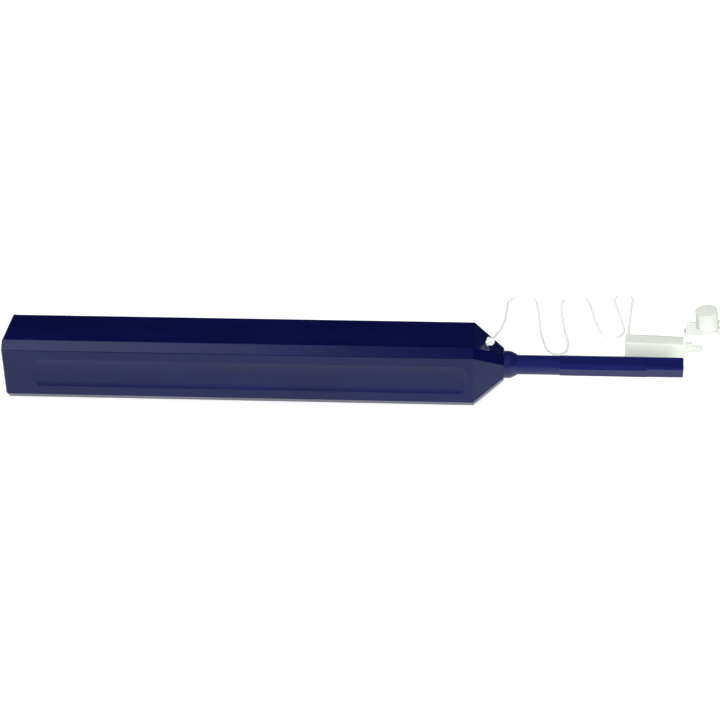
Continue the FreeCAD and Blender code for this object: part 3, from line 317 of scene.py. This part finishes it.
# The pulled knot is a trefoil wound on a ring: it goes twice round the ring while it goes three
# times round the ring's own rim, and the ring faces up and to the front.
knot_low, knot_high = (np.array(corner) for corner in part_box("cord_knot"))
knot_radius = 1.3 * MM
ring_radius, rim_aside, rim_along = 0.64 * MM, 0.24 * MM, 0.42 * MM
knot_middle = knot_high - knot_radius
knot_axis = np.array([0.3, -0.6, 0.74])
knot_across = np.cross([0.0, 1.0, 0.0], knot_axis)
knot_across /= np.linalg.norm(knot_across)
knot_upwards = np.cross(knot_axis, knot_across)
t = np.linspace(0, 2 * np.pi, 160, endpoint=False)[:, None]
ring = ring_radius + rim_aside * np.cos(3 * t)
loop = (ring * np.cos(2 * t) * knot_across + ring * np.sin(2 * t) * knot_upwards
        + rim_along * np.sin(3 * t) * knot_axis)
strand_radii = np.full(len(t), cord_diameter / 2)
knot = tube_piece("pulled_knot", knot_middle + loop, strand_radii, loop, looped=True)

# The tail is a straight end of the cord, melted round, that fills the anchor hole.  Its radius
# falls off at both ends as a flat-topped oval does.
foot_inset = 0.35 * MM
foot = np.array([knot_low[0] + foot_inset, knot_middle[1], knot_low[2] + foot_inset])
share = np.linspace(0, 1, 30)[:, None]
blunt = np.sqrt(np.clip(1 - (2 * share[:, 0] - 1) ** 12, 0, 1))
tail = tube_piece("knot_tail", knot_middle + share * (foot - knot_middle),
                  cord_diameter / 2 * blunt, np.array([[0.0, 1.0, 0.0]]))
for part in (knot, tail):
    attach(part, "housing")
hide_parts("cord_knot")
nylon.dress(tether, knot, tail)
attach(tether, "housing")
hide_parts("tether_cord")


# ---- Grip body --------------------------------------------------------------------------
# Square tube, its top cover and its rear plate, moulded in navy ABS with a polished steel
# tool.  The walls show a very fine flow pattern and the haze of handling.

navy = Finish("navy_abs", {
    "IOR": 1.5, "Specular IOR Level": 0.38, "Specular Tint": (0.85, 0.91, 1.0, 1.0)})
flow = navy.cloud(9 * MM, 4.0, (3.0, 1.0, 1.0))
haze = navy.cloud(2.2 * MM, 5.0)
navy.feed(navy.shader, {
    "Base Color": navy.blend(flow.between(0.3, 0.75), tint(4, 7, 55), tint(7, 10, 65)),
    "Roughness": 0.18 + 0.1 * haze})
navy.relief(navy.cloud(3.0 * MM, 1.0), 0.002 * MM)
navy.dress(nodes["main_shell"], nodes["top_cover"], nodes["rear_cap"])


# ---- Nose bush --------------------------------------------------------------------------
# Turned collar pressed into the front wall, in the same navy plastic but with lathe marks
# round it, where the cleaning tube slides in and out.

nose = Finish("nose_plastic", {"Specular IOR Level": 0.4, "IOR": 1.5})
marks = nose.cloud(0.3 * MM, 1.0, (1.0, 60.0, 60.0))
nose.feed(nose.shader, {
    "Base Color": nose.blend(marks, tint(14, 17, 64), tint(23, 27, 81)),
    "Roughness": 0.24 + 0.12 * marks})
nose.relief(marks, 0.004 * MM)
nose.dress(nodes["nose_bush"])


# ---- Cleaning tube and tip --------------------------------------------------------------
# Guide tube and the chamfered tip that enters the adapter, injection moulded in navy
# acetal, a little lighter and silkier than the body.

acetal = Finish("navy_acetal", {"Specular IOR Level": 0.4, "IOR": 1.48})
grain = acetal.cloud(1.4 * MM, 4.0, (6.0, 1.0, 1.0))
acetal.feed(acetal.shader, {
    "Base Color": acetal.blend(grain, tint(12, 16, 68), tint(18, 22, 84)),
    "Roughness": 0.26 + 0.14 * grain})
acetal.relief(grain, 0.004 * MM)
acetal.dress(nodes["guide_tube"], nodes["tip_guide"])


# ---- Guide cap and lid ------------------------------------------------------------------
# Square cap with a bored nozzle, its strap and a hinged lid with a cup, one moulding in
# natural polypropylene: milky, slightly green, and see-through where it is thin.

milky = Finish("natural_polypropylene", {
    "IOR": 1.45, "Specular IOR Level": 0.4, "Transmission Weight": 0.5,
    "Subsurface Weight": 0.4, "Subsurface Radius": (1.0, 1.0, 0.9), "Subsurface Scale": 2.0 * MM})
veil = milky.cloud(2.5 * MM, 3.0)
milky.feed(milky.shader, {
    "Base Color": milky.blend(veil, tint(239, 243, 235), tint(245, 248, 241)),
    "Roughness": 0.14 + 0.1 * veil})
milky.relief(milky.cloud(1.2 * MM, 1.0), 0.002 * MM)
milky.dress(nodes["guide_cap"], nodes["cap_lid"])


# ---- Carriage and reels -----------------------------------------------------------------
# The sliding carriage, its rack, pinion and the two reels are moulded in white acetal and
# run without oil, so their faces stay matt with a faint draw along the pull.

white = Finish("white_acetal", {"Specular IOR Level": 0.45, "IOR": 1.48})
draw = white.cloud(1.2 * MM, 3.0, (5.0, 1.0, 1.0))
white.feed(white.shader, {
    "Base Color": white.blend(draw, tint(222, 222, 216), tint(236, 236, 231)),
    "Roughness": 0.42 + 0.16 * draw})
white.relief(draw, 0.004 * MM)
white.dress(*(nodes[name] for name in (
    "carriage_frame", "drive_rack", "drive_pinion", "take_up_reel", "supply_reel",
    "cam_barrel", "drive_shaft", "cleaning_nozzle")))


# ---- Springs, pins and leaves -----------------------------------------------------------
# Bright spring wire, ground pins and the two bent leaves are stainless steel, with fine
# drawing lines along the pen.  Both springs are wound with closed ends.

steel = Finish("bright_steel", {"Metallic": 1.0})
lines = steel.cloud(0.12 * MM, 2.0, (12.0, 1.0, 1.0))
steel.feed(steel.shader, {
    "Base Color": steel.blend(lines, tint(176, 178, 180), tint(206, 208, 210)),
    "Roughness": 0.22 + 0.18 * lines})
steel.relief(lines, 0.002 * MM)
steel.dress(*(nodes[name] for name in (
    "cam_pin", "supply_axle", "take_up_axle", "ratchet_pawl", "reel_brake")))


def wound_spring(name, node, wire, outer, turns, body, joint):
    """Round wire wound about the pen's axis over the length of a node's box, with 36 points to a
    turn.  It goes forward by its own thickness in the first and the last turn, and evenly in the
    turns between."""
    low, high = (np.array(corner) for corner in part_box(node))
    free_length = high[0] - low[0]
    advance = free_length - wire
    turned_by = np.linspace(0, turns, 36 * turns)
    ahead = np.interp(turned_by, [0, 1, turns - 1, turns], [0, wire, advance - wire, advance])
    angle = 2 * np.pi * turned_by
    outward = np.stack([0 * angle, np.cos(angle), np.sin(angle)], -1)
    path = (outer - wire) / 2 * outward
    path[:, 0] = low[0] + wire / 2 + ahead
    path[:, 2] += (low[2] + high[2]) / 2
    radii = np.full(len(path), wire / 2)
    radii[[0, -1]] = 0.0
    spring = tube_piece(name, path, radii, outward)
    steel.dress(spring)
    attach(spring, body)
    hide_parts(node)
    travel = next(row["range_m"][1] for row in frame["joints"] if row["name"] == joint)
    1 - travel / free_length
    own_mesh(spring)


wound_spring("return_coil", "return_spring", wire=0.8 * MM, outer=9.0 * MM, turns=8,
             body="housing", joint="tip_push")
wound_spring("nozzle_coil", "nozzle_spring", wire=0.25 * MM, outer=2.2 * MM, turns=7,
             body="cam_shaft", joint="nozzle_recoil")


# ---- Cleaning thread --------------------------------------------------------------------
# Densely woven white microfibre thread, wound on both reels and led over the nozzle.

thread = Finish("microfibre", {"Roughness": 0.85, "Specular IOR Level": 0.2})
fibres = thread.cloud(0.08 * MM, 4.0)
thread.feed(thread.shader, {"Base Color": thread.blend(
    fibres, tint(214, 214, 210), tint(240, 240, 238))})
thread.relief(fibres, 0.02 * MM)
thread.dress(*(nodes[name] for name in (
    "thread_runs", "cleaning_thread", "supply_thread", "used_thread")))
